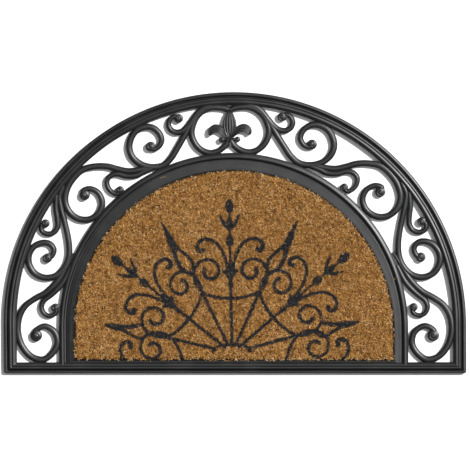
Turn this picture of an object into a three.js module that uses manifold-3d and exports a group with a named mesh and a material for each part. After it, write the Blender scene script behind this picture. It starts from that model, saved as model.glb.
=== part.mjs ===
// Half round doormat: a one-piece rubber moulding, with a rim, scrollwork, an inner arch and a tray,
// and a coir mat that lies in the tray.
// Millimetres, +Z up. X runs across the mat and Y from its straight edge to the top of the arch.
// The origin is on the floor, midway across and midway deep.
import * as THREE from "three";
import { mergeVertices } from "three/addons/utils/BufferGeometryUtils.js";
import Module from "manifold-3d";

const wasm = await Module();
wasm.setup();

// Driving sizes. "up" is the distance from the straight edge, and "out" the distance from the middle line.
const WIDTH = 750;
const DEPTH = 455;
const RIM_RADIUS = WIDTH / 2;
const RIM_CENTRE_UP = DEPTH - RIM_RADIUS;
const ARCH_RADIUS = 283;
const ARCH_CENTRE_UP = 73.9;
const STRAND_HEIGHT = 8;
const KNOB_HEIGHT = 9;
const GAP = 0.3;

// How finely curves are cut: half the steps round an arch, the most turn and length between two
// sections of a bead, the share of a bead after which only its end follows, and the sides of a knob.
const ARCH_STEPS = 30;
const TURN_STEP = THREE.MathUtils.degToRad(20);
const STRAND_STEP = 30;
const LEAF_STEP = 6;
const FINE_STEPS = 400;
const LAST_STATION = 0.98;
const KNOB_SIDES = 12;

// Points nearer to each other than this are one.
const MERGE_TOLERANCE = 1e-4;

// Rim section, from the floor outside to the floor inside: an outer bead, a groove and the main bead.
// Each row is one line round the mat, "inset" from its outline, at a height. Along the straight edge the
// rim is narrower, by FRONT_SHARE.
const FRONT_SHARE = 0.85;
const RIM_SECTION = [
  { inset: 0, z: 0 },
  { inset: 0, z: 6 },
  { inset: 1.2, z: 7.6 },
  { inset: 4.6, z: 7.6 },
  { inset: 6.4, z: 5 },
  { inset: 8.2, z: 5 },
  { inset: 9.6, z: 8.8 },
  { inset: 11.2, z: 10 },
  { inset: 18, z: 10 },
  { inset: 19.9, z: 8.8 },
  { inset: 20.9, z: 0 },
];

// Arch section: a bead, and a smooth band that rises to the coir. The band is wider at the top of the
// arch than at its sides, so a line has an inset for its "side" and one for its "top". "foot" is how far
// up its straight side lies, inside the rim's main bead until the band comes out of it.
const ARCH_SECTION = [
  { side: 0, top: 0, foot: 11.6, z: 0 },
  { side: 0.6, top: 0.7, foot: 12.0, z: 8 },
  { side: 2.6, top: 3.4, foot: 13.1, z: 9.6 },
  { side: 7.2, top: 8.8, foot: 15.4, z: 9.6 },
  { side: 8.8, top: 10.3, foot: 16.3, z: 8 },
  { side: 9.8, top: 11.2, foot: 17.0, z: 6.8 },
  { side: 22.3, top: 26.4, foot: 20.2, z: 8.6 },
  { side: 23.4, top: 27.6, foot: 20.8, z: 0 },
];

// The tray's floor carries the coir and runs under the band.
const TRAY_FLOOR = { side: 19.5, top: 23, foot: 18.6, thickness: 2 };

// The coir mat, with a softened top edge. Each row is one line round it.
const COIR_SECTION = [
  { side: 23.4 + GAP, top: 27.6 + GAP, foot: 20.8 + GAP, z: TRAY_FLOOR.thickness + GAP },
  { side: 23.4 + GAP, top: 27.6 + GAP, foot: 20.8 + GAP, z: 11 },
  { side: 24.8, top: 29, foot: 21.9, z: 12.6 },
  { side: 27.4, top: 31.6, foot: 24.1, z: 13 },
];

// Section of a strand of the scrollwork: "side" is a share of its half width, "z" a share of its height.
const STRAND_SECTION = [
  { side: -1, z: 0 },
  { side: -0.9, z: 0.68 },
  { side: -0.55, z: 1 },
  { side: 0.55, z: 1 },
  { side: 0.9, z: 0.68 },
  { side: 1, z: 0 },
];

// Section of a leaf of the fleur-de-lis, with a sharp crest.
const LEAF_SECTION = [
  { side: -1, z: 0 },
  { side: -0.92, z: 0.55 },
  { side: 0, z: 1 },
  { side: 0.92, z: 0.55 },
  { side: 1, z: 0 },
];

// Profile of a knob, from its foot to its crown: "out" is a share of its radius, "z" of its height.
const KNOB_SECTION = [
  { out: 0, z: 0 },
  { out: 1, z: 0 },
  { out: 1, z: 0.55 },
  { out: 0.72, z: 0.92 },
  { out: 0, z: 1 },
];

// Strands of one half of the scrollwork. Each runs through its points, given as [out, up], from its eye
// to the edge or strand that it grows from. "knob" is the radius of the knob on its first point.
const STRANDS = {
  legScroll: {
    knob: 9.4,
    widths: [8, 10, 10.5, 10.5, 10],
    points: [
      [322, 61.5], [324, 68], [309, 76.8], [293, 68], [287.5, 51], [294, 35], [311, 22.5], [330, 27],
      [345, 44], [352, 68], [349, 93], [339, 110], [323, 122], [305, 132], [289, 147], [275, 167],
      [261, 191],
    ],
  },
  legCurl: {
    knob: 6.6,
    widths: [7, 8, 9.5, 9],
    points: [
      [290.5, 107], [288.5, 102], [292, 96], [301, 93.5], [309.5, 98], [313, 108], [309, 118],
      [299, 126], [287, 137], [277, 149], [264, 174],
    ],
  },
  sideScroll: {
    knob: 7.6,
    widths: [8, 10, 10.5, 10, 9.5, 9, 9],
    points: [
      [302.5, 187.5], [296, 190], [292, 201], [298, 210], [308, 212.5], [322, 208], [332, 195],
      [333, 179], [324, 163], [307, 155.5], [289, 159], [275, 172], [268, 188], [267, 207],
      [270, 228], [275, 250], [280, 270], [282, 287], [275, 305],
    ],
  },
  shoulderScroll: {
    knob: 8.2,
    widths: [8, 10, 10.5, 10.5, 10, 10],
    points: [
      [241, 289.5], [244, 296], [234, 300], [220, 294], [212.5, 278], [218, 261], [233, 250.5],
      [251, 251], [266, 262], [273, 280], [269, 301], [258, 318], [242, 331.5], [222, 336],
      [203, 335.5], [186, 331], [170, 328], [152, 330], [137, 334],
    ],
  },
  shoulderCurl: {
    knob: 6.2,
    widths: [7, 8, 9, 9.5, 9.5],
    points: [
      [183.5, 297.5], [187, 291.5], [195, 293], [203, 302], [204.5, 313], [198, 321], [188, 323.5],
      [172, 320], [156, 321.5], [143, 328], [131, 333],
    ],
  },
  topScroll: {
    knob: 7.8,
    widths: [8, 10, 10.5, 10.5, 10, 10, 10],
    points: [
      [132.5, 368], [129, 363.5], [120, 367], [114, 378], [118, 390], [130, 399], [146, 398.5],
      [160.5, 388.5], [168, 368], [163, 351], [149, 339], [131, 334.5], [112, 338], [99, 349],
      [87, 367], [76, 385], [66, 402], [56, 418], [44, 429], [30, 434],
    ],
  },
  rimCurl: {
    knob: 6.8,
    widths: [7, 8.5, 9, 9],
    points: [
      [305.5, 243.5], [311.5, 241], [311, 231], [301, 226.5], [291, 229.5], [285.5, 239],
      [286, 253], [288, 267], [287, 290],
    ],
  },
  topCurl: {
    knob: 7.2,
    widths: [7, 8.5, 9.5, 10],
    points: [
      [85, 413.5], [91, 417], [98.5, 413], [102, 404], [98, 395], [89, 391], [79, 393], [70, 400], [62, 410],
    ],
  },
  ring: {
    knob: 0,
    widths: [9.5, 10, 10, 9.5],
    points: [
      [1, 378], [8, 368], [20, 360], [33, 357.5], [47, 362], [58, 373], [63.5, 389], [61, 403],
      [54.5, 416], [44, 425.5], [31, 430.5], [16, 431], [7, 430.3], [0, 427.5],
    ],
  },
};

// The fleur-de-lis in the middle ring, its band that ends in two knobs, and the stem that joins it to
// the ring's foot. Widths are spread evenly along each.
const CENTRE_LEAF = {
  height: 10.5,
  widths: [4, 7, 17, 22, 20, 13.5, 3],
  points: [[0, 374], [0, 383], [0, 393], [0, 402], [0, 411], [0, 418], [0, 427]],
};
const SIDE_LEAF = {
  height: 9,
  widths: [6, 9, 12, 14, 12.5, 6],
  points: [[2, 380], [9, 389], [17, 396], [25, 396.5], [31, 391.5], [32.5, 386]],
};
const BAND_KNOB = 5.8;
const BAND = {
  height: 8.5,
  widths: [9, 9],
  points: [[-12.5, 378.5], [12.5, 378.5]],
};
const STEM = {
  height: 8.5,
  widths: [12, 9, 10],
  points: [[0, 366], [0, 374], [0, 384]],
};

// Finishes of the two materials.
const RUBBER = { color: 0x2f3234, roughness: 0.62, metalness: 0 };
const COIR = { color: 0xa8743c, roughness: 0.95, metalness: 0 };

// A point on one half of the mat, in the part's own axes. Side is -1 on the left and 1 on the right.
function place([out, up], side) {
  return new THREE.Vector2(side * out, up - DEPTH / 2);
}

// A half round outline, anticlockwise from its lower right corner, as 2-D points.
function halfRound(radius, centreUp, footUp) {
  const centre = place([0, centreUp], 1);
  const shape = new THREE.Shape();
  shape.moveTo(centre.x + radius, footUp - DEPTH / 2);
  shape.lineTo(centre.x + radius, centre.y);
  shape.absarc(centre.x, centre.y, radius, 0, Math.PI, false);
  shape.lineTo(centre.x - radius, footUp - DEPTH / 2);
  return shape.getPoints(ARCH_STEPS);
}

// A closed mesh as a manifold solid, from rings of points that all have the same count.
// Neighbouring rings are joined, and the last closes on the first or else both ends are capped.
function solidFromRings(rings, closed) {
  const count = rings[0].length;
  const faces = [];
  const last = closed ? rings.length : rings.length - 1;
  for (let i = 0; i < last; i++) {
    const here = i * count;
    const next = ((i + 1) % rings.length) * count;
    for (let j = 0; j < count; j++) {
      const k = (j + 1) % count;
      faces.push(here + j, here + k, next + k, here + j, next + k, next + j);
    }
  }
  if (!closed) {
    for (const [index, turned] of [[0, true], [rings.length - 1, false]]) {
      for (const [a, b, c] of capTriangles(rings[index])) {
        const start = index * count;
        faces.push(start + a, start + (turned ? c : b), start + (turned ? b : c));
      }
    }
  }
  const geometry = new THREE.BufferGeometry();
  geometry.setFromPoints(rings.flat());
  geometry.setIndex(faces);
  return solidOf(geometry);
}

// Triangles over a flat ring: it is turned into its own plane, and three.js cuts it into ears.
function capTriangles(ring) {
  const normal = new THREE.Vector3();
  const cross = new THREE.Vector3();
  ring.forEach((point, i) => {
    normal.add(cross.crossVectors(point, ring[(i + 1) % ring.length]));
  });
  const turn = new THREE.Quaternion().setFromUnitVectors(normal.normalize(), new THREE.Vector3(0, 0, 1));
  const flat = ring.map((point) => point.clone().applyQuaternion(turn));
  return THREE.ShapeUtils.triangulateShape(flat.map((point) => new THREE.Vector2(point.x, point.y)), []);
}

// A three.js geometry, left with its positions alone, as a manifold solid.
function solidOf(geometry) {
  geometry.deleteAttribute("normal");
  geometry.deleteAttribute("uv");
  const merged = mergeVertices(geometry, MERGE_TOLERANCE);
  const mesh = new wasm.Mesh({
    numProp: 3,
    vertProperties: new Float32Array(merged.attributes.position.array),
    triVerts: new Uint32Array(merged.index.array),
  });
  return new wasm.Manifold(mesh);
}

// A moulding whose section runs round a half round outline. Rows of the section are lines round it. A
// line that is inset further at its top than at its sides has its centre lower by the difference.
function moulding(section, radius, centreUp, closed) {
  const rings = section.map(({ side, top, foot, z }) => (
    halfRound(radius - side, centreUp + side - top, foot).map((point) => new THREE.Vector3(point.x, point.y, z))
  ));
  return solidFromRings(rings, closed);
}

// A value from a short list that is spread evenly over 0 to 1.
function spread(values, at) {
  const along = at * (values.length - 1);
  const index = Math.min(Math.floor(along), values.length - 2);
  return THREE.MathUtils.lerp(values[index], values[index + 1], along - index);
}

// Shares of a curve at which a bead gets a section: after each bend of TURN_STEP or stretch of "reach".
function stations(curve, reach) {
  const found = [0];
  const length = curve.getLength();
  let turned = 0;
  for (let i = 1; i < LAST_STATION * FINE_STEPS; i++) {
    const at = i / FINE_STEPS;
    turned += curve.getTangentAt(at).angleTo(curve.getTangentAt((i - 1) / FINE_STEPS));
    if (turned > TURN_STEP || (at - found.at(-1)) * length > reach) {
      found.push(at);
      turned = 0;
    }
  }
  return [...found, 1];
}

// A bead along a plan curve, standing on the floor, with its own width at every station.
function bead({ points, widths }, section, height, reach, side) {
  const way = points.map((point) => place(point, side));
  const curve = new THREE.CatmullRomCurve3(way.map(({ x, y }) => new THREE.Vector3(x, y, 0)), false, "centripetal");
  const up = new THREE.Vector3(0, 0, 1);
  const rings = stations(curve, reach).map((at) => {
    const middle = curve.getPointAt(at);
    const across = new THREE.Vector3().crossVectors(curve.getTangentAt(at), up).normalize();
    const half = spread(widths, at) / 2;
    return section.map((row) => (
      middle.clone().addScaledVector(across, row.side * half).addScaledVector(up, row.z * height)
    ));
  });
  return solidFromRings(rings, false);
}

// A domed knob on the floor, turned on a lathe.
function knob(point, radius, height, side) {
  const profile = KNOB_SECTION.map(({ out, z }) => new THREE.Vector2(out * radius, z * height));
  const geometry = new THREE.LatheGeometry(profile, KNOB_SIDES);
  geometry.rotateX(Math.PI / 2);
  const centre = place(point, side);
  geometry.translate(centre.x, centre.y, 0);
  return solidOf(geometry);
}

// All that one half of the scrollwork holds.
function halfScrollwork(side) {
  const solids = [];
  for (const strand of Object.values(STRANDS)) {
    solids.push(bead(strand, STRAND_SECTION, STRAND_HEIGHT, STRAND_STEP, side));
    if (strand.knob) solids.push(knob(strand.points[0], strand.knob, KNOB_HEIGHT, side));
  }
  solids.push(bead(SIDE_LEAF, LEAF_SECTION, SIDE_LEAF.height, LEAF_STEP, side));
  solids.push(knob(BAND.points[1], BAND_KNOB, KNOB_HEIGHT, side));
  return solids;
}

function trayFloor() {
  const { side, top, foot, thickness } = TRAY_FLOOR;
  const outline = new THREE.Shape(halfRound(ARCH_RADIUS - side, ARCH_CENTRE_UP + side - top, foot));
  return solidOf(new THREE.ExtrudeGeometry(outline, { depth: thickness, bevelEnabled: false }));
}

// The rubber moulding, every part of it joined into one solid.
function rubberFrame() {
  const rimSection = RIM_SECTION.map(({ inset, z }) => (
    { side: inset, top: inset, foot: FRONT_SHARE * inset, z }
  ));
  const solids = [
    moulding(rimSection, RIM_RADIUS, RIM_CENTRE_UP, true),
    moulding(ARCH_SECTION, ARCH_RADIUS, ARCH_CENTRE_UP, true),
    trayFloor(),
    bead(CENTRE_LEAF, LEAF_SECTION, CENTRE_LEAF.height, LEAF_STEP, 1),
    bead(BAND, STRAND_SECTION, BAND.height, STRAND_STEP, 1),
    bead(STEM, STRAND_SECTION, STEM.height, STRAND_STEP, 1),
    ...halfScrollwork(-1),
    ...halfScrollwork(1),
  ];
  const whole = solids.reduce((joined, solid) => joined.add(solid));
  return largestBody(whole);
}

// The largest body of a solid, without the specks that rounding leaves where faces nearly meet.
function largestBody(solid) {
  return solid.decompose().reduce((largest, body) => (body.volume() > largest.volume() ? body : largest));
}

function coirMat() {
  return moulding(COIR_SECTION, ARCH_RADIUS, ARCH_CENTRE_UP, false);
}

// A named mesh from a manifold solid.
function meshOf(name, solid, material) {
  const { vertProperties, triVerts } = solid.getMesh();
  const geometry = new THREE.BufferGeometry();
  geometry.setAttribute("position", new THREE.BufferAttribute(vertProperties, 3));
  geometry.setIndex(new THREE.BufferAttribute(triVerts, 1));
  geometry.computeVertexNormals();
  const mesh = new THREE.Mesh(geometry, new THREE.MeshStandardMaterial(material));
  mesh.name = name;
  return mesh;
}

const doormat = new THREE.Group();
doormat.name = "half_round_doormat";
doormat.add(meshOf("rubber_frame", rubberFrame(), RUBBER));
doormat.add(meshOf("coir_insert", coirMat(), COIR));

export default doormat;
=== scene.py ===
# %% [markdown]
# The real mat is two things: a black rubber moulding, cast in one piece with its rim, scrolls, inner
# arch and tray, and a coir mat that lies in the tray with a scroll fan printed on it in black. This
# lesson rebuilds both over the imported CAD model, which gives every size and place. The first cell
# loads that model as a fixed frame.

# %% Load the frame
import bmesh
import bpy
import math
import numpy as np
from mathutils import Matrix, Vector


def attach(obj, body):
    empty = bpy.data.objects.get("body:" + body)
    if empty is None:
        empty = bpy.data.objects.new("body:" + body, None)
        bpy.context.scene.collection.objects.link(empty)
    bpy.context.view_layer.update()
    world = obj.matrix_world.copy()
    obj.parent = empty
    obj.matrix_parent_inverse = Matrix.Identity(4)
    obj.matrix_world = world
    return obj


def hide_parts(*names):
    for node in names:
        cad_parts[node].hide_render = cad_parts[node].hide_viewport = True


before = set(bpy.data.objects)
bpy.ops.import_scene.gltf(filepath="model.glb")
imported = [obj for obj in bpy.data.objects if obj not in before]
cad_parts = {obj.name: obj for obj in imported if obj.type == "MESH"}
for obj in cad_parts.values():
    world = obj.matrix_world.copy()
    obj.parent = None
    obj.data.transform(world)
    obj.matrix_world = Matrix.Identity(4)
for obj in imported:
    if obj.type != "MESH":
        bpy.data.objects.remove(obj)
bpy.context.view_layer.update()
print("CAD nodes:", sorted(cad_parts))

# %% [markdown]
# A maker reads a mat like this from two lines: the middle line that it is mirrored about, and its
# straight front edge. So places here are pairs of [out, up] in millimetres, out from the middle line
# and up from the front edge. Blender works in metres, so one helper turns a finished mesh into a
# piece: it scales, points the faces outwards, shades smooth with crisp corners and rides on the mat.

# %% Sizes of the mat and a helper for its pieces
MM = 0.001
DEPTH = 455.0
RIM_RADIUS = 375.0
RIM_CENTRE_UP = 80.0
ARCH_RADIUS = 283.0
ARCH_CENTRE_UP = 73.9
CRISP_ANGLE = math.radians(40)
rng = np.random.default_rng(11)


def add_piece(name, points, faces, material, slot, turn_out=True):
    """A mesh object from points in millimetres, with up still measured from the front edge."""
    placed = np.array(points, float) - [0, DEPTH / 2, 0]
    mesh = bpy.data.meshes.new(name)
    mesh.from_pydata(placed * MM, [], faces)
    if turn_out:
        work = bmesh.new()
        work.from_mesh(mesh)
        bmesh.ops.recalc_face_normals(work, faces=work.faces)
        work.to_mesh(mesh)
        work.free()
    mesh.shade_smooth()
    mesh.set_sharp_from_angle(angle=CRISP_ANGLE)
    mesh.materials.append(material)
    piece = bpy.data.objects.new(name, mesh)
    bpy.context.scene.collection.objects.link(piece)
    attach(piece, "root")
    triangles = sum(len(polygon.vertices) - 2 for polygon in mesh.polygons)
    print(name, "has", triangles, "triangles")
    return piece


# %% [markdown]
# Moulded rubber is never one flat black. Its surface has a fine matt skin from the mould, soft pale
# patches where dust and handling have dulled it, and a faint cloudiness in how it shines. The coir's
# ink and the band round it show the same cloudiness, so it is a node group with its own sockets,
# built once and placed in each material with other values. It gives out masks and a height only.

# %% A node group for cloudy, dusty surfaces
def link_nodes(tree, source, output, target, socket):
    tree.links.new(source.outputs[output], target.inputs[socket])


def noise_node(tree, scale, detail):
    node = tree.nodes.new("ShaderNodeTexNoise")
    node.inputs["Scale"].default_value = scale
    node.inputs["Detail"].default_value = detail
    return node


def stretched(tree, low, high, to_low, to_high):
    """A node that stretches a value between two limits."""
    node = tree.nodes.new("ShaderNodeMapRange")
    for name, value in zip(("From Min", "From Max", "To Min", "To Max"), (low, high, to_low, to_high)):
        node.inputs[name].default_value = value
    return node


cloud_group = bpy.data.node_groups.new("cloudy_dust", "ShaderNodeTree")
sockets = cloud_group.interface
sockets.new_socket(name="Patch Scale", in_out="INPUT", socket_type="NodeSocketFloat")
sockets.new_socket(name="Grain Scale", in_out="INPUT", socket_type="NodeSocketFloat")
sockets.new_socket(name="Dust", in_out="OUTPUT", socket_type="NodeSocketFloat")
sockets.new_socket(name="Grain", in_out="OUTPUT", socket_type="NodeSocketFloat")
group_in = cloud_group.nodes.new("NodeGroupInput")
group_out = cloud_group.nodes.new("NodeGroupOutput")
place_node = cloud_group.nodes.new("ShaderNodeTexCoord")
patches = noise_node(cloud_group, 1.0, 3.0)
grain = noise_node(cloud_group, 1.0, 2.0)
dust_mask = stretched(cloud_group, 0.42, 0.72, 0.0, 1.0)
for noise, scale in ((patches, "Patch Scale"), (grain, "Grain Scale")):
    link_nodes(cloud_group, place_node, "Object", noise, "Vector")
    link_nodes(cloud_group, group_in, scale, noise, "Scale")
link_nodes(cloud_group, patches, "Fac", dust_mask, "Value")
link_nodes(cloud_group, dust_mask, "Result", group_out, "Dust")
link_nodes(cloud_group, grain, "Fac", group_out, "Grain")
print("node group", cloud_group.name, "gives", [item.name for item in sockets.items_tree])

# %% [markdown]
# The rubber itself is a dark charcoal with a soft shine. Dust lifts its colour a little and dulls it,
# and the grain is a bump so shallow that it only breaks up the highlights on the beads.

# %% The moulded rubber
RUBBER_DARK = (0.0045, 0.0048, 0.0051, 1)
RUBBER_DUSTY = (0.0090, 0.0093, 0.0098, 1)
RUBBER_ROUGHNESS = (0.41, 0.50)
RUBBER_SPECULAR = 0.70
RUBBER_PATCHES, RUBBER_GRAIN = 34.0, 1400.0
RUBBER_BUMP = 0.00012


def blend_colours(tree, first, second):
    """A colour mix whose factor is still free."""
    node = tree.nodes.new("ShaderNodeMix")
    node.data_type = "RGBA"
    node.inputs["A"].default_value = first
    node.inputs["B"].default_value = second
    return node


def new_material(name):
    material = bpy.data.materials.new(name)
    material.use_nodes = True
    return material, material.node_tree, material.node_tree.nodes["Principled BSDF"]


def place_clouds(tree, patch_scale, grain_scale):
    node = tree.nodes.new("ShaderNodeGroup")
    node.node_tree = cloud_group
    node.inputs["Patch Scale"].default_value = patch_scale
    node.inputs["Grain Scale"].default_value = grain_scale
    return node


def add_bump(tree, source, output, shader, depth):
    bump = tree.nodes.new("ShaderNodeBump")
    bump.inputs["Strength"].default_value = 1.0
    bump.inputs["Distance"].default_value = depth
    tree.links.new(source.outputs[output], bump.inputs["Height"])
    tree.links.new(bump.outputs["Normal"], shader.inputs["Normal"])


rubber, tree, shader = new_material("moulded_rubber")
clouds = place_clouds(tree, RUBBER_PATCHES, RUBBER_GRAIN)
colour = blend_colours(tree, RUBBER_DARK, RUBBER_DUSTY)
shine = stretched(tree, 0.0, 1.0, *RUBBER_ROUGHNESS)
link_nodes(tree, clouds, "Dust", colour, "Factor")
link_nodes(tree, colour, "Result", shader, "Base Color")
link_nodes(tree, clouds, "Dust", shine, "Value")
link_nodes(tree, shine, "Result", shader, "Roughness")
shader.inputs["Specular IOR Level"].default_value = RUBBER_SPECULAR
add_bump(tree, clouds, "Grain", shader, RUBBER_BUMP)
print("material", rubber.name, "has", len(tree.nodes), "nodes")

# %% [markdown]
# Every long piece of the moulding is the same idea: one section, carried along a line. For the rim
# and the arch the line is half round: a straight foot, two square corners, two short legs and half a
# circle. Each row of a section is one such line, moved inwards and lifted to a height. Joining line
# to line gives a closed ring of clean quads, which bends the light as a moulded bead does. A row has
# one inset for the sides and one for the top, since the mat's band is wider at the top.

# %% Half round lines and the skin over them
FOOT_STEPS = 110
CORNER_STEPS = 5
LEG_STEPS = 22
ARC_STEPS = 210
CORNER_RADIUS = 3.5
LEAST_CORNER = 0.4


def half_round(radius, centre_up, foot_up, corner):
    """A half round line as points [out, up], anticlockwise from the middle of its foot."""
    foot = np.linspace(0, radius - corner, FOOT_STEPS, endpoint=False)
    turn = np.linspace(-math.pi / 2, 0, CORNER_STEPS, endpoint=False)
    leg = np.linspace(foot_up + corner, centre_up, LEG_STEPS, endpoint=False)
    arc = np.linspace(0, math.pi / 2, ARC_STEPS)
    corner_out = radius - corner + corner * np.cos(turn)
    corner_up = foot_up + corner + corner * np.sin(turn)
    out = np.concatenate([foot, corner_out, np.full(LEG_STEPS, radius), radius * np.cos(arc)])
    up = np.concatenate([np.full(FOOT_STEPS, foot_up), corner_up, leg, centre_up + radius * np.sin(arc)])
    right = np.stack([out, up], -1)
    left = right[-2:0:-1] * [-1, 1]
    return np.concatenate([right, left])


def skin(rings, wrap):
    """Points and faces over rings of equal count. The rings wrap round, or the two ends are capped."""
    rows, columns = rings.shape[:2]
    row = np.arange(rows if wrap else rows - 1)[:, None]
    column = np.arange(columns)[None, :]
    beside = (column + 1) % columns
    below = (row + 1) % rows * columns
    quads = np.stack([row * columns + column, row * columns + beside, below + beside, below + column], -1)
    faces = quads.reshape(-1, 4).tolist()
    if not wrap:
        faces.append(list(range(columns))[::-1])
        faces.append(list(range((rows - 1) * columns, rows * columns)))
    return rings.reshape(-1, 3), faces


def half_round_moulding(section, radius, centre_up, wrap=True, asides=None):
    """A section with rows [inset at the sides, at the top, foot, height], round a half round line.

    Each row may also be moved sideways, by its own value in asides."""
    rings = []
    for number, (side, top, foot, height) in enumerate(section):
        corner = max(CORNER_RADIUS - side, LEAST_CORNER)
        line = half_round(radius - side, centre_up + side - top, foot, corner)
        if asides is not None:
            line = line + [asides[number], 0]
        rings.append(np.column_stack([line, np.full(len(line), height)]))
    return skin(np.array(rings), wrap)


def gather(skins):
    """Several skins as one list of points and one of faces."""
    points, faces, start = [], [], 0
    for skin_points, skin_faces in skins:
        points.append(skin_points)
        faces.extend([[start + index for index in face] for face in skin_faces])
        start += len(skin_points)
    return np.concatenate(points), faces


print("a half round line has", len(half_round(RIM_RADIUS, RIM_CENTRE_UP, 0, CORNER_RADIUS)), "points")

# %% [markdown]
# The rim is a double bead: a low round one outside, a deep groove, and a broad one with two ridges.
# Moulded rubber has upright walls, so that it leaves the mould, and only its tops are rounded. Seen
# from above the walls vanish, each crest draws a line of light and the shoulders stay black. A wall
# that leaned would mirror the white floor and blur the outline with grey. Along the straight edge
# the rim is a little narrower than round the arc.

# %% The rim
FRONT_SHARE = 0.85
RIM_SECTION = [
    (0, 0), (0, 6.5), (0.5, 7.0), (1.2, 7.55), (1.8, 8.0), (2.6, 8.35), (3.3, 8.55), (4.1, 8.5), (4.7, 8.2),
    (5.3, 7.7), (5.7, 6.9), (5.9, 5.2), (6.8, 4.4), (7.8, 4.8), (8.2, 7.0), (8.5, 8.3), (9.3, 9.1),
    (10.1, 9.6), (11.1, 9.7), (12.1, 9.45), (13.0, 8.8), (13.9, 9.3), (14.8, 9.85), (15.6, 10.0),
    (16.5, 9.85), (17.3, 9.45), (18.2, 8.95), (19.1, 8.35), (20.0, 7.6), (20.9, 6.9), (20.9, 0),
]
rim_rows = [(inset, inset, FRONT_SHARE * inset, height) for inset, height in RIM_SECTION]
rim = add_piece("rim", *half_round_moulding(rim_rows, RIM_RADIUS, RIM_CENTRE_UP), rubber, "moulded_rubber")

# %% [markdown]
# The inner arch is a narrow round bead, and inside it a plain band that rises towards the coir. The
# band starts at a crisp step, so no light runs along its outer edge. It is wider at the top than at
# the sides, and at the front it comes out of the rim's broad bead, so each row has its own foot. Its
# inner lip lies a little to the left of the arch, which makes it narrower on that side. The
# tray under the coir is a thin slab that runs below the band and closes the back of the mat.

# %% The inner arch with its band, and the tray
ARCH_SECTION = [
    (0, 0, 11.6, 0), (0, 0, 11.6, 6.6), (0.8, 0.9, 11.8, 7.35), (1.6, 2.0, 12.0, 8.15),
    (2.5, 3.2, 12.3, 8.85), (3.4, 4.5, 12.6, 9.4), (4.3, 5.6, 12.9, 9.8), (5.2, 6.5, 13.1, 9.9),
    (6.1, 7.4, 13.3, 9.7), (7.0, 8.2, 13.5, 9.2), (7.8, 8.8, 13.7, 8.55), (8.3, 9.2, 13.8, 7.0),
    (8.8, 9.6, 13.9, 5.2), (9.8, 10.4, 14.2, 4.6), (11.6, 11.4, 14.5, 4.6), (12.4, 12.0, 15.0, 5.0),
    (12.5, 12.1, 15.2, 7.1), (13.6, 14.0, 16.0, 7.25), (16.0, 18.4, 17.0, 7.6), (18.0, 23.0, 18.0, 8.1),
    (19.7, 26.4, 19.6, 8.5), (20.3, 27.2, 20.3, 8.4), (20.7, 27.5, 20.7, 7.8), (20.7, 27.6, 20.8, 0),
]
ARCH_ASIDE = -1.5
BAND_ASIDE = -3.4
BAND_STARTS, BAND_ENDS = 12.5, 20.7
TRAY_ROWS = [(16.0, 23.0, 18.6, 0.1), (16.0, 23.0, 18.6, 2.0)]
insets = [side for side, *_ in ARCH_SECTION]
asides = np.interp(insets, [BAND_STARTS, BAND_ENDS], [ARCH_ASIDE, BAND_ASIDE])
arch_skin = half_round_moulding(ARCH_SECTION, ARCH_RADIUS, ARCH_CENTRE_UP, asides=asides)
tray_skin = half_round_moulding(TRAY_ROWS, ARCH_RADIUS, ARCH_CENTRE_UP, wrap=False)
arch = add_piece("arch_and_tray", *gather([arch_skin, tray_skin]), rubber, "moulded_rubber")

# %% [markdown]
# The scrolls are strands that run from an eye to the bead they grow from. A few points give each its
# line, a smooth curve goes through them, and the section is carried along it with a width that
# swells and thins. Points spaced by length keep the quads even, so the highlights run unbroken.

# %% A helper for strands
STRAND_STEP = 1.9
STRAND_HEIGHT = 8.3
STRAND_SECTION = [
    (-1, 0), (-1, 0.66), (-0.96, 0.69), (-0.82, 0.765), (-0.66, 0.85), (-0.5, 0.925), (-0.36, 0.972),
    (-0.22, 0.995), (0, 1), (0.22, 0.995), (0.36, 0.972), (0.5, 0.925), (0.66, 0.85), (0.82, 0.765),
    (0.96, 0.69), (1, 0.66), (1, 0),
]
FINE_PARTS = 24


def smooth_line(points, step):
    """A centripetal Catmull-Rom curve through the points, cut into even steps."""
    given = np.array(points, float)
    padded = np.concatenate([[2 * given[0] - given[1]], given, [2 * given[-1] - given[-2]]])
    fine = []
    for before, start, end, after in zip(padded, padded[1:], padded[2:], padded[3:]):
        first = math.sqrt(np.linalg.norm(start - before))
        middle = math.sqrt(np.linalg.norm(end - start))
        last = math.sqrt(np.linalg.norm(after - end))
        leave = (start - before) / first - (end - before) / (first + middle) + (end - start) / middle
        leave = leave * middle
        arrive = ((end - start) / middle - (after - start) / (middle + last) + (after - end) / last) * middle
        t = np.linspace(0, 1, FINE_PARTS, endpoint=False)[:, None]
        fine.append(
            (2 * t**3 - 3 * t**2 + 1) * start + (t**3 - 2 * t**2 + t) * leave
            + (3 * t**2 - 2 * t**3) * end + (t**3 - t**2) * arrive
        )
    fine = np.concatenate(fine + [given[-1:]])
    reached = np.concatenate([[0], np.cumsum(np.linalg.norm(np.diff(fine, axis=0), axis=1))])
    even = np.linspace(0, reached[-1], max(3, round(reached[-1] / step)))
    return np.stack([np.interp(even, reached, fine[:, axis]) for axis in range(fine.shape[1])], -1)


def widths_along(widths, count):
    return np.interp(np.linspace(0, 1, count), np.linspace(0, 1, len(widths)), widths)


def strand(points, widths, section, height, step=STRAND_STEP, lift=0.0):
    """A skin with the section carried along a line, standing on the floor."""
    line = smooth_line(points, step)
    along = np.gradient(line, axis=0)
    along /= np.linalg.norm(along, axis=1)[:, None]
    across = np.stack([along[:, 1], -along[:, 0]], -1)
    half = widths_along(widths, len(line)) / 2
    side, share = np.array(section).T
    plan = line[:, None, :] + across[:, None, :] * (half[:, None] * side)[:, :, None]
    heights = np.broadcast_to(lift + share * height, plan.shape[:2])
    return skin(np.concatenate([plan, heights[:, :, None]], -1), wrap=False)


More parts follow.
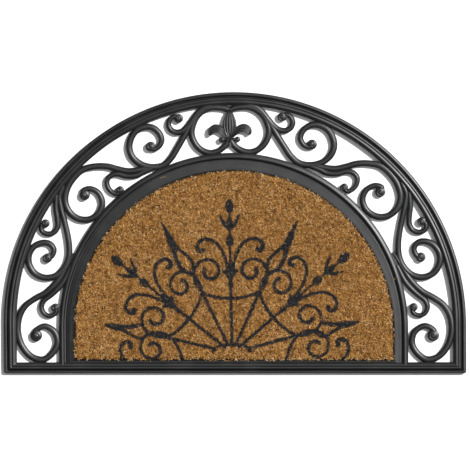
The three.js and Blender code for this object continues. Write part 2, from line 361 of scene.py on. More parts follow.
print("a strand's section has", len(STRAND_SECTION), "points")

# %% [markdown]
# Each eye ends in a knob: a low dome with a shallow groove that winds into it, as if the strand had
# been rolled up. A disc of rings, each lifted to the dome's height and sunk along the groove, makes
# it in one closed skin.

# %% A helper for the knobs
KNOB_RINGS = 12
KNOB_SIDES = 44
KNOB_HEIGHT = 9.2
KNOB_FALL = 0.34
GROOVE_DEPTH = 1.1
GROOVE_WIDTH = 0.11


def knob(centre, radius, side, start_turn):
    """A domed knob whose groove winds inwards, mirrored on the other side of the mat."""
    turns = np.linspace(0, 2 * math.pi, KNOB_SIDES, endpoint=False)
    rings = [np.column_stack([np.cos(turns), np.sin(turns), np.zeros(KNOB_SIDES)])]
    for share in np.linspace(1, 0.04, KNOB_RINGS):
        dome = KNOB_HEIGHT - KNOB_FALL * radius * share**2.6
        wound = (side * (turns - start_turn) / (2 * math.pi)) % 1
        reach = 0.22 + 0.62 * wound
        groove = np.exp(-(((share - reach) / GROOVE_WIDTH) ** 2)) * np.sin(math.pi * wound) ** 0.5
        height = dome - GROOVE_DEPTH * groove * (share < 0.95)
        rings.append(np.column_stack([share * np.cos(turns), share * np.sin(turns), height]))
    scaled = np.array(rings) * [radius, radius, 1]
    return skin(scaled + [centre[0], centre[1], 0], wrap=False)


print("a knob has", KNOB_RINGS * KNOB_SIDES, "points on its top")

# %% [markdown]
# One half of the scrollwork is drawn from the mat's own tables, as the CAD model does it, and then
# mirrored. Every strand sits a hair higher or lower than its neighbour, so where two run together
# their tops don't lie in one plane, and a fine line shows between them as it does on the moulding.
# In the photo the scrolls from the right shoulder to the crown sit some five millimetres to the left
# of where a mirrored drawing has them. Thin rubber may have been laid a little untrue, or the view may
# make it seem so. The photo can't tell, so one slide along the arc, which eases in and out, sets them
# there, and the CAD model keeps the mirrored drawing.

# %% The scrollwork
SLIDE = 5.0
SLIDE_STARTS, SLIDE_IS_FULL = 20.0, 40.0
SLIDE_EASES, SLIDE_ENDS = 92.0, 118.0


def slid(line):
    """Points [out, up] of a strand, slid along the arc where they stand between the slide's angles."""
    line = np.array(line, float)
    angle = np.arctan2(line[:, 1] - ARCH_CENTRE_UP, line[:, 0])
    turns = [SLIDE_STARTS, SLIDE_IS_FULL, SLIDE_EASES, SLIDE_ENDS]
    along = np.interp(np.degrees(angle), turns, [0, SLIDE, SLIDE, 0])[:, None]
    return line + along * np.column_stack([-np.sin(angle), np.cos(angle)])


STRANDS = {
    "leg_scroll": (9.4, [8, 10, 10.5, 10.5, 10.5, 10, 10, 9.5, 3.5], [
        (322, 61.5), (324, 68), (309, 76.8), (293, 68), (287.5, 51), (294, 35), (311, 22.5), (330, 27),
        (345, 44), (352, 68), (349, 93), (339, 110), (323, 122), (305, 132), (289, 147), (275, 167),
        (264, 186), (258.5, 195)]),
    "leg_curl": (6.6, [7, 8, 9.5, 9], [
        (290.5, 107), (288.5, 102), (292, 96), (301, 93.5), (309.5, 98), (313, 108), (309, 118), (299, 126),
        (287, 137), (277, 149), (264, 174)]),
    "side_scroll": (7.6, [8, 10, 10.5, 10, 9.5, 9, 9], [
        (302.5, 187.5), (296, 190), (292, 201), (298, 210), (308, 212.5), (322, 208), (332, 195), (333, 179),
        (324, 163), (307, 155.5), (289, 159), (275, 172), (268, 188), (267, 207), (270, 228), (275, 250),
        (280, 270), (282, 287), (275, 305)]),
    "shoulder_scroll": (8.2, [8, 10, 10.5, 10.5, 10, 10], [
        (241, 289.5), (244, 296), (234, 300), (220, 294), (212.5, 278), (218, 261), (233, 250.5), (251, 251),
        (266, 262), (273, 280), (269, 301), (258, 318), (242, 331.5), (222, 336), (203, 335.5), (186, 331),
        (170, 328), (152, 330), (137, 334)]),
    "shoulder_curl": (6.2, [7, 8, 9, 9.5, 9.5], [
        (183.5, 297.5), (187, 291.5), (195, 293), (203, 302), (204.5, 313), (198, 321), (188, 323.5),
        (172, 320), (156, 321.5), (143, 328), (131, 333)]),
    "top_scroll": (7.8, [8, 10, 10.5, 10.5, 10, 10, 10], [
        (132.5, 368), (129, 363.5), (120, 367), (114, 378), (118, 390), (130, 399), (146, 398.5),
        (160.5, 388.5), (168, 368), (163, 351), (149, 339), (131, 334.5), (112, 338), (99, 349), (87, 367),
        (76, 385), (66, 402), (56, 418), (44, 429), (30, 434)]),
    "rim_curl": (6.8, [7, 8.5, 9, 9], [
        (305.5, 243.5), (311.5, 241), (311, 231), (301, 226.5), (291, 229.5), (285.5, 239), (286, 253),
        (288, 267), (287, 290)]),
    "top_curl": (7.2, [7, 8.5, 9.5, 10], [
        (85, 413.5), (91, 417), (98.5, 413), (102, 404), (98, 395), (89, 391), (79, 393), (70, 400),
        (62, 410)]),
    "ring": (0, [9.5, 10, 10, 10.5, 10], [
        (1, 378), (8, 368), (20, 360), (33, 357.5), (47, 362), (58, 373), (63.5, 389), (61, 403),
        (54.5, 416), (44, 425.5), (31, 430.5), (16, 430.4), (7, 428.8), (0, 425.8)]),
}
STEP_BETWEEN = 0.13

scroll_skins = []
for side in (-1, 1):
    for number, (knob_radius, widths, points) in enumerate(STRANDS.values()):
        mirrored = slid(np.array(points) * [side, 1])
        height = STRAND_HEIGHT + STEP_BETWEEN * (number % 3 - 1)
        scroll_skins.append(strand(mirrored, widths, STRAND_SECTION, height))
        if knob_radius:
            leaving = mirrored[1] - mirrored[0]
            start_turn = math.atan2(leaving[1], leaving[0])
            scroll_skins.append(knob(mirrored[0], knob_radius, side, start_turn))
scrolls = add_piece("scrollwork", *gather(scroll_skins), rubber, "moulded_rubber")

# %% [markdown]
# The fleur-de-lis in the middle ring has modelled leaves. A leaf is a leaf within a leaf: a raised
# edge, a groove, an inner edge, another groove and a sharp crest. The relief is gentle, under forty
# degrees across a wide leaf and steeper only at its edge, so that each ridge can draw its own line of
# light. The leaves are strands too, with widths that swell and close to a tip. A band with a knob at
# each end ties them, and a stem joins the ring's foot. Above, the ring dips between its halves and
# leaves a small gap to the rim.

# %% The fleur-de-lis with its band and stem
RIGHT_LEAF = [
    (0, 1), (0.05, 0.985), (0.11, 0.95), (0.17, 0.915), (0.22, 0.90), (0.28, 0.91), (0.35, 0.94),
    (0.42, 0.95), (0.48, 0.935), (0.55, 0.885), (0.60, 0.86), (0.64, 0.85), (0.70, 0.86), (0.77, 0.89),
    (0.84, 0.90), (0.90, 0.88), (0.96, 0.84), (1, 0.79), (1, 0),
]
LEAF_SECTION = [(-side, share) for side, share in RIGHT_LEAF[:0:-1]] + RIGHT_LEAF
LEAF_STEP = 0.8
SIDE_LEAF = [(4, 383), (10, 390), (17.5, 396), (25, 396.5), (31, 391.5), (32.5, 386)]
BAND_END = 12.6
BAND_UP = 378.5
BAND_KNOB = 4.5

fleur_skins = [
    strand(slid([(0, 374), (0, 383), (0, 393), (0, 402), (0, 411), (0, 418), (0, 427)]),
           [4, 7, 17, 22, 20, 13.5, 3], LEAF_SECTION, 10.5, LEAF_STEP),
    strand(slid([(-BAND_END, BAND_UP), (BAND_END, BAND_UP)]), [5, 5], STRAND_SECTION, 9.0),
    strand(slid([(0, 368), (0, 374), (0, 384)]), [10, 6.5, 7], STRAND_SECTION, 8.6),
]
for side in (-1, 1):
    mirrored = slid(np.array(SIDE_LEAF) * [side, 1])
    fleur_skins.append(strand(mirrored, [5, 8, 11.5, 13.5, 12, 4.5], LEAF_SECTION, 9.4, LEAF_STEP))
    band_end = slid([(side * BAND_END, BAND_UP)])[0]
    fleur_skins.append(knob(band_end, BAND_KNOB, side, 0))
fleur = add_piece("fleur", *gather(fleur_skins), rubber, "moulded_rubber")
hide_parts("rubber_frame")

# %% [markdown]
# The print on the coir is a fan of wrought scrolls, stencilled in black. It repeats every 50.5 degrees
# about a hub near the front edge: a ray with a finial, and on each side of it a spiral, a curl and
# part of an arc. One sector is drawn in its own polar terms, as [turn in degrees, distance from the
# hub], and turned into place five times. The outer two are cut off by the edge, as on any stencil.

# %% One sector of the printed fan
HUB = (-3.6, 33.3)
FAN_TILT = -0.65
SECTOR_TURN = 50.5
NODE_TURN = 25.25
NODE_REACH = 140.0
LINE = 5.4
THIN = 4.8


def curl(centre, start, turns, radii, ease):
    """A spiral about a point of the fan, from an outer radius to an inner one, as fan points."""
    centre_turn = math.radians(centre[0])
    middle = centre[1] * np.array([math.sin(centre_turn), math.cos(centre_turn)])
    share = np.linspace(0, 1, 22)
    angle = math.radians(start) + 2 * math.pi * turns * share
    radius = radii[1] + (radii[0] - radii[1]) * (1 - share) ** ease
    out = middle[0] + radius * np.cos(angle)
    up = middle[1] + radius * np.sin(angle)
    return np.column_stack([np.degrees(np.arctan2(out, up)), np.hypot(out, up)])


half_sector = [
    ([(NODE_TURN, NODE_REACH), (26.6, 122), (22.8, 104), (12.1, 92), (0, 88.5)], [LINE, THIN, THIN, LINE]),
    (np.concatenate([[(NODE_TURN, NODE_REACH)], curl((14.2, 136), -14, 1.12, (27, 9.5), 1.9)[1:]]),
     [LINE, THIN, LINE, 6.2]),
    ([(1.2, 132), (2.6, 148), (4.3, 164.5), (7.2, 180), (11.4, 188.5), (15.6, 187), (17.4, 179),
    (16.6, 172.5), (14.8, 173)], [5.2, THIN, THIN, 5.4, 5.8, 7.4]),
    ([(0, 203), (2.3, 208.5), (3.2, 216), (4.0, 223)], [8, 6, 5, 3]),
]
finial = [
    ([(0, 14), (0, 120)], [5.2, 4.8]),
    ([(0, 120), (0, 230)], [4, 3]),
    ([(0, 103), (0, 110), (0, 117)], [3, 9, 3]),
    ([(0, 119), (0, 126), (0, 133), (0, 140), (0, 147)], [6, 14, 16.5, 13, 6]),
    ([(-4.6, 133), (-2, 130), (2, 130), (4.6, 133)], [4, 9, 9, 4]),
    ([(0, 174), (0, 179), (0, 184), (0, 189)], [5, 12, 12, 4]),
    ([(0, 197), (0, 205), (0, 213), (0, 221)], [4, 12, 9, 3]),
    ([(0, 228), (0, 233), (0, 238), (0, 243), (0, 247)], [5, 11.5, 13.5, 11.5, 5]),
]
upper_spear = [
    ([(27.4, 239), (27.5, 224), (27.7, 208), (27.9, 197), (28.0, 189)], [2.5, 5.5, 9.5, 12.5, 9]),
    ([(28.2, 198), (30.0, 172), (29.8, 157), (NODE_TURN, NODE_REACH)], [8, 7, 6.5, 6]),
    ([(27.2, 196), (23.9, 173), (22.6, 161), (24.6, 143)], [6, 5, THIN, LINE]),
]
lower_spear = [
    ([(76.9, 210), (76.8, 200), (76.6, 190), (76.2, 182)], [4, 8, 11, 8]),
    ([(75.9, 184), (75.1, 172), (72.3, 155)], [8, 7, 6]),
    ([(77.2, 184), (78.2, 172), (80.3, 155), (80.1, 147.5), (76.5, 140)], [6, 5, THIN, THIN, 6]),
]
print("one sector is drawn with", 2 * len(half_sector) + len(finial), "strokes")

# %% [markdown]
# A stroke is a row of round dabs, wide or narrow as the line swells. To know where the ink is, the
# dabs are laid on a fine grid that keeps, for every half millimetre of mat, how deep inside the
# nearest line it is. A fibre or a point of the mat then only has to look up its place in that grid.
# No stencil is laid quite true: the last sector on the left sits a little further in.

# %% The depth of ink over the mat
CELL = 0.5
GRID_SIDE = 280.0
GRID_TOP = 360.0
FAR = -9.0
LEFT_SHIFT = 8.0
COLUMNS = int(2 * GRID_SIDE / CELL)
ROWS = int(GRID_TOP / CELL)
ink_grid = np.full((ROWS, COLUMNS), FAR)


def lay_stroke(points, widths, turn, side, shift=0.0):
    """Dabs along a stroke given in fan points, mirrored by side, turned about the hub and shifted out."""
    given = np.array(points, float)
    angle = np.radians(side * given[:, 0] + turn + FAN_TILT)
    plan_out = HUB[0] + shift + given[:, 1] * np.sin(angle)
    plan = np.column_stack([plan_out, HUB[1] + given[:, 1] * np.cos(angle)])
    line = smooth_line(plan, 0.8)
    for (out, up), width in zip(line, widths_along(widths, len(line))):
        reach = width / 2 + 3
        low_column = max(0, int((out - reach + GRID_SIDE) / CELL))
        high_column = min(COLUMNS, int((out + reach + GRID_SIDE) / CELL) + 1)
        low_row = max(0, int((up - reach) / CELL))
        high_row = min(ROWS, int((up + reach) / CELL) + 1)
        if low_column >= high_column or low_row >= high_row:
            continue
        columns = np.arange(low_column, high_column) * CELL - GRID_SIDE
        rows = np.arange(low_row, high_row) * CELL
        depth = width / 2 - np.hypot(columns[None, :] - out, rows[:, None] - up)
        patch = ink_grid[low_row:high_row, low_column:high_column]
        np.maximum(patch, depth, out=patch)


for sector in range(-2, 3):
    shift = LEFT_SHIFT if sector == -2 else 0.0
    for points, widths in half_sector:
        lay_stroke(points, widths, sector * SECTOR_TURN, -1, shift)
        lay_stroke(points, widths, sector * SECTOR_TURN, 1, shift)
    if abs(sector) < 2:
        for points, widths in finial:
            lay_stroke(points, widths, sector * SECTOR_TURN, 1)
for side in (-1, 1):
    for points, widths in upper_spear + lower_spear:
        lay_stroke(points, widths, 0, side)
    lay_stroke([(NODE_TURN, 16), (NODE_TURN, NODE_REACH)], [THIN, LINE], 0, side)
    lay_stroke([(3 * NODE_TURN, 30), (3 * NODE_TURN, NODE_REACH)], [THIN, LINE], 0, side)
hub_arch = [(-85, 31), (-62, 24), (-33, 15.5), (0, 12.3), (33, 15.5), (62, 24), (85, 31)]
lay_stroke(hub_arch, [4.6, THIN, THIN, THIN, 4.6], 0, 1)


def ink_depth(out, up):
    """How many millimetres inside the nearest printed line each place is, below nought outside it."""
    columns = np.clip(((out + GRID_SIDE) / CELL).astype(int), 0, COLUMNS - 1)
    rows = np.clip((up / CELL).astype(int), 0, ROWS - 1)
    return ink_grid[rows, columns]


print("the print covers", round(float((ink_grid > 0).sum()) * CELL**2 / 100), "square centimetres")

# %% [markdown]
# Coir pile is thousands of stiff husk fibres, cut to a height and bundled in tufts. Seen from above
# it is a grain of pale cut ends and dark gaps. Two things are needed: a mat that is a closed body
# with a lumpy top, and the fibres that stand in it. Lumps come from smooth random values on a grid.

# %% Lumpy values and the mat's outline
COIR_RADIUS = 258.6
COIR_CENTRE_OUT = -0.8
COIR_CENTRE_UP = 69.5
COIR_FOOT = 22.2
NOISE_SIZE = 256


def random_table(seed):
    return np.random.default_rng(seed).random((NOISE_SIZE, NOISE_SIZE))


def lumps(out, up, size, seed):
    """Smooth random values between 0 and 1, in lumps of a size in millimetres."""
    table = random_table(seed)
    column, row = (out + 400) / size, (up + 100) / size
    left, low = np.floor(column).astype(int), np.floor(row).astype(int)
    across, rise = column - left, row - low
    across, rise = across * across * (3 - 2 * across), rise * rise * (3 - 2 * rise)
    values = 0
    for beside, share in ((0, 1 - across), (1, across)):
        near = table[low % NOISE_SIZE, (left + beside) % NOISE_SIZE]
        far = table[(low + 1) % NOISE_SIZE, (left + beside) % NOISE_SIZE]
        values = values + share * (near * (1 - rise) + far * rise)
    return values


def flecks(out, up, size, seed):
    """One random value for each small cell, with the borders between the cells roughened."""
    rough = np.random.default_rng(seed + 1).normal(0, 0.2, (2, len(out)))
    column = np.floor((out + 400) / size + rough[0]).astype(int)
    row = np.floor((up + 100) / size + rough[1]).astype(int)
    return random_table(seed)[row % NOISE_SIZE, column % NOISE_SIZE]


def edge_distance(out, up):
    """How far inside the mat's outline a place is, in millimetres, below nought outside it."""
    sideways = out - COIR_CENTRE_OUT
    from_arc = COIR_RADIUS - np.hypot(sideways, up - COIR_CENTRE_UP)
    from_side = np.where(up < COIR_CENTRE_UP, COIR_RADIUS - np.abs(sideways), from_arc)
    return np.minimum(from_side, up - COIR_FOOT)


coir_depth = COIR_CENTRE_UP + COIR_RADIUS - COIR_FOOT
print("the coir is", round(2 * COIR_RADIUS), "mm wide and", round(coir_depth), "mm deep")

# %% [markdown]
# Fibres differ from straw to dark brown, they are darker at the root where little light reaches, and
# the ink blackens the ones it hit. Those three facts are kept on each fibre as plain attributes, and
# the material reads them: a ramp for the husk colour, a darkening towards the root, and the ink over
# both. The lumpy mat below uses the same material, so its gaps match.

# %% The coir's material
HUSK_RAMP = [
    (0.0, (0.055, 0.019, 0.005, 1)),
    (0.28, (0.315, 0.135, 0.028, 1)),
    (0.55, (0.575, 0.294, 0.068, 1)),
    (0.78, (0.74, 0.445, 0.142, 1)),
    (1.0, (0.80, 0.64, 0.41, 1)),
]
INK_COLOUR = (0.017, 0.019, 0.022, 1)
ROOT_SHADE = 0.30
COIR_ROUGHNESS = 0.78
COIR_SPECULAR = 0.28
COIR_PATCHES, COIR_GRAIN = 60.0, 2600.0
COIR_BUMP = 0.0002

coir, tree, shader = new_material("coir_fibres")
facts = {}
for fact in ("shade", "tip", "ink"):
    facts[fact] = tree.nodes.new("ShaderNodeAttribute")
    facts[fact].attribute_name = fact
ramp = tree.nodes.new("ShaderNodeValToRGB")
while len(ramp.color_ramp.elements) < len(HUSK_RAMP):
    ramp.color_ramp.elements.new(0.5)
for element, (position, value) in zip(ramp.color_ramp.elements, HUSK_RAMP):
    element.position = position
    element.color = value
link_nodes(tree, facts["shade"], "Fac", ramp, "Fac")
depth = stretched(tree, 0.0, 0.8, ROOT_SHADE, 1.0)
link_nodes(tree, facts["tip"], "Fac", depth, "Value")
darken = tree.nodes.new("ShaderNodeVectorMath")
darken.operation = "SCALE"
tree.links.new(ramp.outputs["Color"], darken.inputs[0])
tree.links.new(depth.outputs["Result"], darken.inputs["Scale"])
inked = blend_colours(tree, (0, 0, 0, 1), INK_COLOUR)
link_nodes(tree, darken, "Vector", inked, "A")
link_nodes(tree, facts["ink"], "Fac", inked, "Factor")
link_nodes(tree, inked, "Result", shader, "Base Color")
shader.inputs["Roughness"].default_value = COIR_ROUGHNESS
shader.inputs["Specular IOR Level"].default_value = COIR_SPECULAR
clouds = place_clouds(tree, COIR_PATCHES, COIR_GRAIN)
add_bump(tree, clouds, "Grain", shader, COIR_BUMP)
print("material", coir.name, "reads", sorted(facts))

# %% [markdown]
# The mat's body is drawn as its outline, shrunk in rings towards a middle point, which covers the
# half round shape with quads and no gaps. The top is lifted and sunk in lumps the size of a tuft and
# falls away at the edge, and there its colour is darkened to nearly black: painted shade for the gap
# between the pile and the band. The mat fits close on the right of its tray and leaves a dark gap on
# the left. It is cut to that shape and lies in the tray, and it stands for the CAD's coir. A helper
# writes the three facts onto a mesh, because the fibres need it as well.

# %% The coir mat
PAD_RINGS = 80
EDGE_FALL = 4.5
EDGE_FALL_AND_SHADE_WIDTH = 3.4
PAD_MIDDLE = np.array([0.0, 150.0])
PAD_BOTTOM = 2.3
PAD_TOP = 9.6
LUMP_HEIGHT = 1.7


def keep_facts(piece, **values):
    for name, value in values.items():
        attribute = piece.data.attributes.new(name, "FLOAT", "POINT")
        attribute.data.foreach_set("value", np.asarray(value, np.float32))


edge = half_round(COIR_RADIUS, COIR_CENTRE_UP, COIR_FOOT, 3.0) + [COIR_CENTRE_OUT, 0]
edge_shares = [1, 0.996, 0.992, 0.988, 0.984]
rings = [np.column_stack([edge, np.full(len(edge), PAD_BOTTOM)])]
for share in edge_shares + list(np.linspace(0.976, 0.012, PAD_RINGS)):
    line = PAD_MIDDLE + (edge - PAD_MIDDLE) * share
    height = PAD_TOP + LUMP_HEIGHT * (lumps(line[:, 0], line[:, 1], 3.4, 5) - 0.5)
    height -= EDGE_FALL * np.clip(1 - edge_distance(line[:, 0], line[:, 1]) / EDGE_FALL_AND_SHADE_WIDTH, 0, 1)
    rings.append(np.column_stack([line, height]))
points, faces = skin(np.array(rings), wrap=False)
coir_mat = add_piece("coir_mat", points, faces, coir, "coir")
pad_ink = np.clip(ink_depth(points[:, 0], points[:, 1]) + 0.4, 0, 1)
# Towards the edge the colour fades to nearly black, painted shade for the gap round the pile.
pad_shade = 0.12 + 0.3 * lumps(points[:, 0], points[:, 1], 3.4, 5)
pad_shade *= np.clip(edge_distance(points[:, 0], points[:, 1]) / EDGE_FALL_AND_SHADE_WIDTH, 0, 1)
# A fixed root depth on the mat's top gives it part of the fibres' root darkening, painted shade for the deep
# gaps between the tufts.
keep_facts(coir_mat, shade=pad_shade, tip=np.full(len(points), 0.35), ink=pad_ink)
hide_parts("coir_insert")

# %% [markdown]
# A fibre this fine needs only four triangles: three long sides and its cut end. Most stand in tufts
# that lean together, and their wide end is the cut one, which catches the light. So the pile is a
# list of roots, each with a tuft that decides how it leans, how tall it is and how pale.

# %% Where the fibres stand and how they lean
FIBRES = 132000
TUFT = 2.1
ROOT_HEIGHT = 8.2
tries = int(FIBRES * 1.6)
out = COIR_CENTRE_OUT + rng.uniform(-COIR_RADIUS, COIR_RADIUS, tries)
up = rng.uniform(COIR_FOOT, COIR_CENTRE_UP + COIR_RADIUS, tries)
frayed = np.where(out < 0, 0.6, 0.3) + np.where(out < 0, 4.6, 2.2) * lumps(out, up, 4.5, 91) ** 2
inside = edge_distance(out, up) > frayed
out, up = out[inside][:FIBRES], up[inside][:FIBRES]
near_edge = np.clip(1 - edge_distance(out, up) / 4.0, 0, 1)
tuft_pale = flecks(out, up, TUFT, 21)
tuft_tall = lumps(out, up, TUFT, 5)
heading = 2 * math.pi * 1.6 * lumps(out, up, 1.3 * TUFT, 33) + rng.normal(0, 0.9, len(out))
lean = np.radians(np.clip(16 + 42 * lumps(out, up, TUFT, 44) + rng.normal(0, 10, len(out)), 3, 74))
length = 4.5 * (0.72 + 0.36 * tuft_tall + rng.normal(0, 0.07, len(out)))
print(len(out), "fibres stand, about", round(len(out) / 128000, 2), "on a square millimetre")

# %% [markdown]
# The pile's edge is ragged, more so on the left, where whole tufts are missing. Near the edge the
# fibres lean a little outwards and all of them to the right, so on that side they reach over
# the gap and on the left the gap lies open and dark. Shade is partly the tuft's and partly each
# fibre's own, so the grain is a few millimetres across. The ink's edge is roughened, and a few fibres
# inside it stayed bare, because a stencil doesn't reach every one.

# %% Shade, ink and the ragged edge
FIBRE_WIDTH = 0.82
from_centre = np.column_stack([out - COIR_CENTRE_OUT, up - COIR_CENTRE_UP])
arch_part = from_centre / np.maximum(np.hypot(*from_centre.T), 1)[:, None]
side_part = np.column_stack([np.sign(out), np.zeros(len(out))])
outward = np.where((up < COIR_CENTRE_UP)[:, None], side_part, arch_part)
outward = np.where((up - COIR_FOOT < 4)[:, None], [0.0, -1.0], outward)
way = np.column_stack([np.cos(heading), np.sin(heading)])
way += near_edge[:, None] * (0.3 * outward + [0.5, 0.1])
way /= np.linalg.norm(way, axis=1)[:, None]
tips = np.column_stack([
    out + way[:, 0] * np.sin(lean) * length,
    up + way[:, 1] * np.sin(lean) * length,
    ROOT_HEIGHT + length * np.cos(lean),
])
shade = 0.43 + 0.80 * (tuft_pale - 0.5) + 0.12 * (lumps(out, up, 11.0, 61) - 0.5)
shade += rng.normal(0, 0.14, len(out)) + 0.3 * (edge_distance(out, up) < 2.6)
shade += 0.30 * (rng.random(len(out)) < 0.06) - 0.28 * (rng.random(len(out)) < 0.07)
depth_at_tip = ink_depth(tips[:, 0], tips[:, 1]) + rng.normal(0, 0.25, len(out))
depth_at_tip += 1.4 * (lumps(out, up, 2.0, 77) - 0.5)
ink = np.clip(depth_at_tip * 1.6 + 1.1, 0, 1) * (rng.random(len(out)) > 0.05)
shade = np.clip(shade, 0, 1)
print("inked fibres:", int((ink > 0.5).sum()))

# %% [markdown]
# Blender is quick with a few large meshes and slow with many small ones, so the pile is four pieces.
# Each fibre is a slim wedge: one point at the root and three round the cut end.

# %% The pile
PILE_PIECES = 4
WEDGE = np.array([[0, 2, 1], [0, 3, 2], [0, 1, 3], [1, 2, 3]])


def fibre_mesh(roots, ends, width, spin):
    """Points and faces of slim wedges from each root to its cut end."""
    axis = ends - roots
    axis /= np.linalg.norm(axis, axis=1)[:, None]
    first = np.cross(axis, [0.31, 0.17, 0.93])
    first /= np.linalg.norm(first, axis=1)[:, None]
    second = np.cross(axis, first)
    points = [roots]
    for third in range(3):
        angle = (spin + third * 2 * math.pi / 3)[:, None]
        points.append(ends + (np.cos(angle) * first + np.sin(angle) * second) * (width / 2)[:, None])
    points = np.stack(points, 1)
    faces = (np.arange(len(roots))[:, None, None] * 4 + WEDGE).reshape(-1, 3)
    return points.reshape(-1, 3), faces.tolist()


roots = np.column_stack([out, up, np.full(len(out), ROOT_HEIGHT)])
width = FIBRE_WIDTH * rng.uniform(0.7, 1.25, len(out))
spin = rng.uniform(0, 2 * math.pi, len(out))
for number in range(PILE_PIECES):
    part = slice(number, None, PILE_PIECES)
    points, faces = fibre_mesh(roots[part], tips[part], width[part], spin[part])
    piece = add_piece(f"coir_pile_{number + 1}", points, faces, coir, "coir", turn_out=False)
    root_to_tip = np.tile([0.0, 1.0, 1.0, 1.0], len(roots[part]))
    keep_facts(piece, shade=np.repeat(shade[part], 4), tip=root_to_tip, ink=np.repeat(ink[part], 4))

# %% [markdown]
# A mat that has been handled sheds: a few curved fibres lie loose on the rubber at the front and on
# the band. They are thin bent tubes of the same husk, resting on the beads.

# %% Loose fibres
STRAY_TURNS = np.linspace(-math.pi / 2, 1.5 * math.pi, 7)[:-1]
STRAY_SECTION = [(math.cos(turn), 0.5 + 0.5 * math.sin(turn)) for turn in STRAY_TURNS]
STRAYS = [
    ([(-34, 19.5), (-27, 22.5), (-19, 23.4), (-13, 21.5)], 9.3),
    ([(-22, 24.5), (-14, 21), (-8, 20.5), (-2, 22.8)], 9.2),
    ([(168, 20.5), (171, 24), (176, 25)], 9.0),
    ([(92, 22), (99, 24.2), (106, 24)], 8.9),
    ([(-150, 23), (-142, 22), (-137, 24)], 8.9),
    ([(-118, 316), (-112, 319), (-108, 317)], 8.4),
    ([(258, 150), (262, 156), (261, 163)], 8.2),
]
STRAY_WIDTHS = [0.3, 0.45, 0.4, 0.3]
stray_skins = []
for line, lift in STRAYS:
    stray_skins.append(strand(line, STRAY_WIDTHS, STRAY_SECTION, 0.5, 0.8, lift))
points, faces = gather(stray_skins)
strays = add_piece("loose_fibres", points, faces, coir, "coir")
keep_facts(strays, shade=np.full(len(points), 0.6), tip=np.ones(len(points)), ink=np.zeros(len(points)))

# %% [markdown]
# The studio is a plain white floor that runs out of sight. A small bright key stands on the right
# and a little behind, and throws the short sharp shadow to the left of every bead. It also draws the
# line of light on each bead's right flank. The fill is a wide soft light overhead, a little to the
# right, so that flats are mid grey, right flanks light, and left flanks see only the dim horizon.

# %% Floor and light
FLOOR_SIZE = 12.0
FLOOR_LEVEL = -0.0004
KEY_STRENGTH = 5.4
KEY_HEIGHT = 45.0
KEY_TURN = 33.5
HORIZON_LIGHT = 0.15
SOFT_LIGHT = 1.15
SOFT_TILT = 22.0
SOFT_TURN = 22.0
SOFT_FALL = 7.0

floor_mesh = bpy.data.meshes.new("floor")
half = FLOOR_SIZE / 2
corners = [(out, up, FLOOR_LEVEL) for out, up in ((-half, -half), (half, -half), (half, half), (-half, half))]
floor_mesh.from_pydata(corners, [], [(0, 1, 2, 3)])
floor = bpy.data.objects.new("floor", floor_mesh)
bpy.context.scene.collection.objects.link(floor)
white, tree, shader = new_material("white_floor")
shader.inputs["Base Color"].default_value = (0.86, 0.86, 0.86, 1)
shader.inputs["Roughness"].default_value = 0.9
floor_mesh.materials.append(white)

key_data = bpy.data.lights.new("key", "SUN")
key_data.energy = KEY_STRENGTH
key_data.angle = math.radians(2.5)
key = bpy.data.objects.new("key", key_data)
key.rotation_euler = (0, math.radians(90 - KEY_HEIGHT), math.radians(KEY_TURN))
bpy.context.scene.collection.objects.link(key)

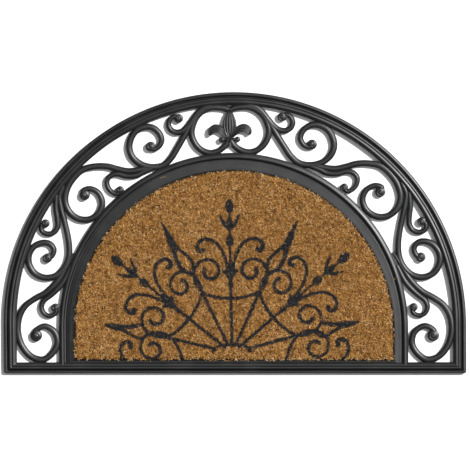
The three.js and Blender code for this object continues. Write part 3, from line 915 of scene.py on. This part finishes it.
world = bpy.data.worlds.new("studio")
world.use_nodes = True
tree = world.node_tree
direction = tree.nodes.new("ShaderNodeTexCoord")
towards = tree.nodes.new("ShaderNodeVectorMath")
towards.operation = "DOT_PRODUCT"
tilt, turn = math.radians(SOFT_TILT), math.radians(SOFT_TURN)
soft_axis = (math.sin(tilt) * math.cos(turn), math.sin(tilt) * math.sin(turn), math.cos(tilt))
towards.inputs[1].default_value = soft_axis
ahead = tree.nodes.new("ShaderNodeMath")
ahead.operation = "MAXIMUM"
ahead.inputs[1].default_value = 0.0
soft = tree.nodes.new("ShaderNodeMath")
soft.operation = "POWER"
soft.inputs[1].default_value = SOFT_FALL
level = stretched(tree, 0.0, 1.0, HORIZON_LIGHT, HORIZON_LIGHT + SOFT_LIGHT)
seen = tree.nodes.new("ShaderNodeLightPath")
strength = tree.nodes.new("ShaderNodeMath")
strength.operation = "MAXIMUM"
tree.links.new(direction.outputs["Generated"], towards.inputs[0])
tree.links.new(towards.outputs["Value"], ahead.inputs[0])
tree.links.new(ahead.outputs["Value"], soft.inputs[0])
link_nodes(tree, soft, "Value", level, "Value")
tree.links.new(level.outputs["Result"], strength.inputs[0])
tree.links.new(seen.outputs["Is Camera Ray"], strength.inputs[1])
background = tree.nodes["Background"]
background.inputs["Color"].default_value = (1, 1, 1, 1)
link_nodes(tree, strength, "Value", background, "Strength")
bpy.context.scene.world = world
bpy.context.scene.view_settings.view_transform = "Standard"
print("key at", KEY_HEIGHT, "degrees, soft light from", SOFT_TILT, "degrees beside the top")

# %% [markdown]
# The photograph was taken from above with a long lens. It isn't quite straight down: the outline is
# a little narrower on one side and the knobs hide a little more of their shadows, which fits a view
# that leans some six degrees to the right and towards the top. So the camera stands eight metres up
# and a little aside, and the lens follows from the width that the frame has to take in.

# %% Camera
CAMERA_PLACE = Vector((0.62, 0.48, 8.0))
LOOKED_AT = Vector((0.0022, -0.0036, 0.0))
CAMERA_ROLL = math.radians(-0.4)
VIEW_WIDTH = 0.7596
SENSOR = 36.0
sight = LOOKED_AT - CAMERA_PLACE
lifted = Vector((-math.sin(CAMERA_ROLL), math.cos(CAMERA_ROLL), 0))
sideways = sight.cross(lifted).normalized()
upright = sideways.cross(sight).normalized()
camera_data = bpy.data.cameras.new("camera")
camera_data.sensor_width = SENSOR
camera_data.lens = SENSOR * sight.length / VIEW_WIDTH
camera = bpy.data.objects.new("camera", camera_data)
facing = Matrix((sideways, upright, -sight.normalized())).transposed()
camera.matrix_world = Matrix.Translation(CAMERA_PLACE) @ facing.to_4x4()
bpy.context.scene.collection.objects.link(camera)
bpy.context.scene.camera = camera
print("lens", round(camera_data.lens, 1), "mm")
